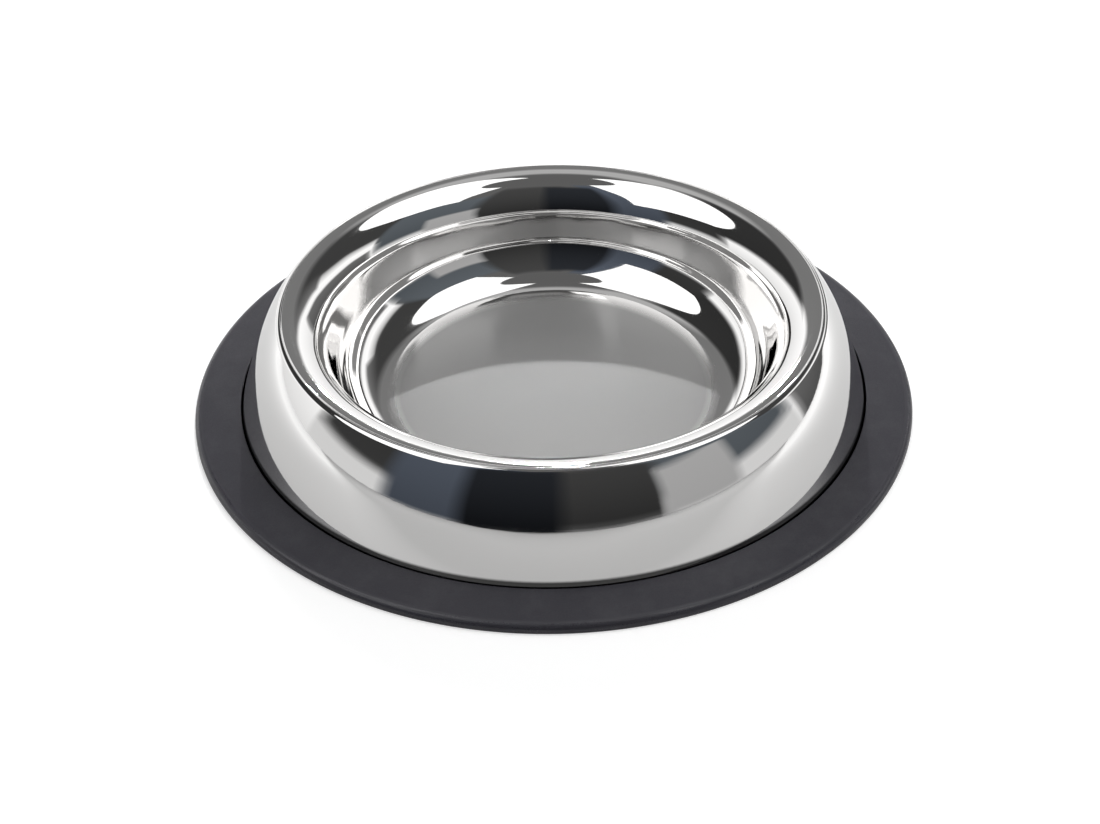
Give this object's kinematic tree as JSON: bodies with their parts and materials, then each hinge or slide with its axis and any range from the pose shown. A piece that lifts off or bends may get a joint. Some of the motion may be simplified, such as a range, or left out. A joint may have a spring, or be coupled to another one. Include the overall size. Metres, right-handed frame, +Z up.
{
  "type": "pet food bowl",
  "caption": "Low round pet food bowl of polished steel with a wide sloping skirt that stands in a black rubber anti-slip ring.",
  "frame": {"origin": "on the bowl's axis, at the surface that the rubber ring stands on", "axes": "+Z up along the bowl's axis; the bowl is round, so +X and +Y are any two level directions at right angles"},
  "size_m": [0.22, 0.22, 0.033],
  "materials": {
    "polished_steel": "mirror polished stainless steel with a satin basin floor",
    "black_rubber": "matt moulded rubber with a faint sheen"
  },
  "bodies": {
    "root": {"steel_bowl": "polished_steel", "rubber_ring": "black_rubber"}
  },
  "joints": []
}
